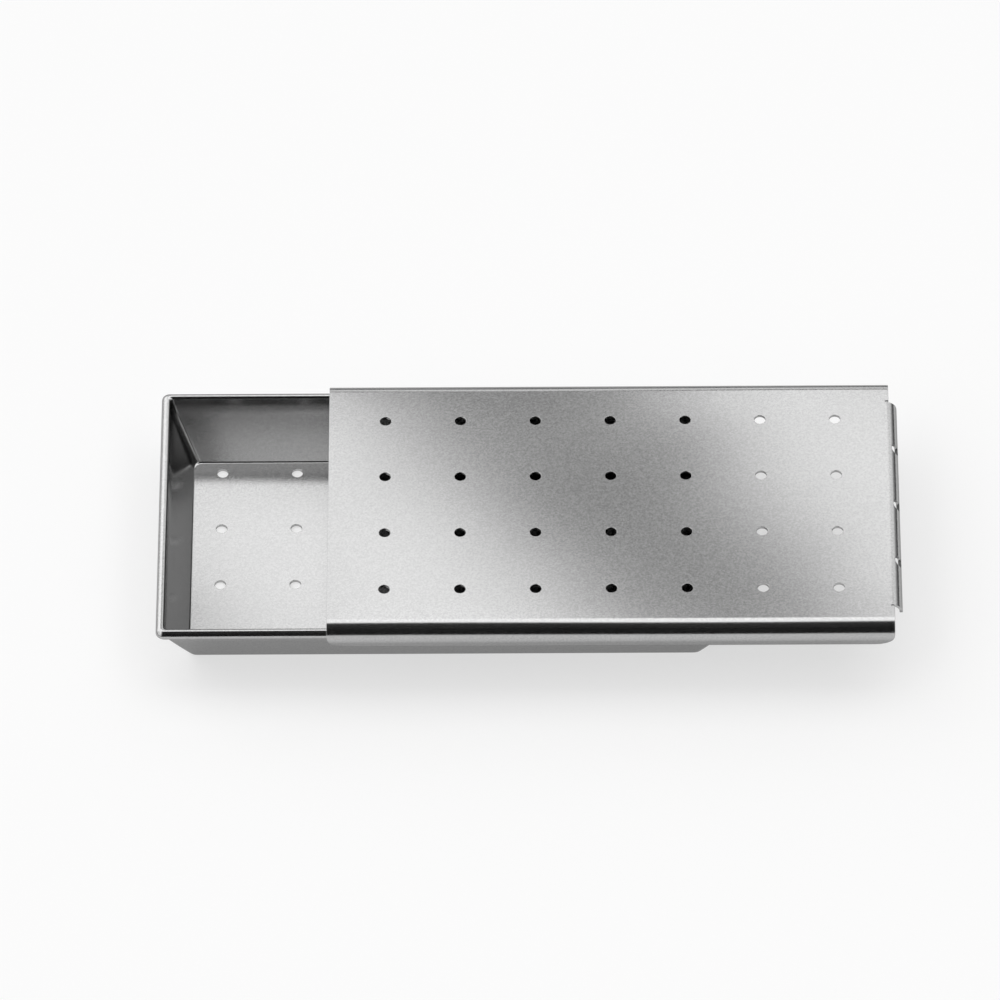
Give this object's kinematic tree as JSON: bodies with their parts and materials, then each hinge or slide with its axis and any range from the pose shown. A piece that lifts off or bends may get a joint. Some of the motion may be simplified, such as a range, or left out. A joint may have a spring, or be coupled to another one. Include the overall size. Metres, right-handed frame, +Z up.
{
  "type": "needle sterilization case",
  "caption": "Shallow case of perforated stainless sheet for sterilizing needles: a tray with flared walls and a hemmed rim, and a cover that slides along the rim to open it.",
  "frame": {"origin": "middle of the tray's underside, on the surface that the case stands on", "axes": "+X along the case, the way the cover is drawn to open it; +Y across the case; +Z up, out of the tray"},
  "size_m": [0.1969, 0.089, 0.0212],
  "materials": {
    "steel": "satin"
  },
  "bodies": {
    "tray": {"tray": "steel"},
    "cover": {"cover": "steel"}
  },
  "joints": [
    {"name": "cover_slide", "type": "slide", "parent": "tray", "child": "cover", "axis": [1, 0, 0], "range_m": [-0.04355, 0.11]}
  ]
}
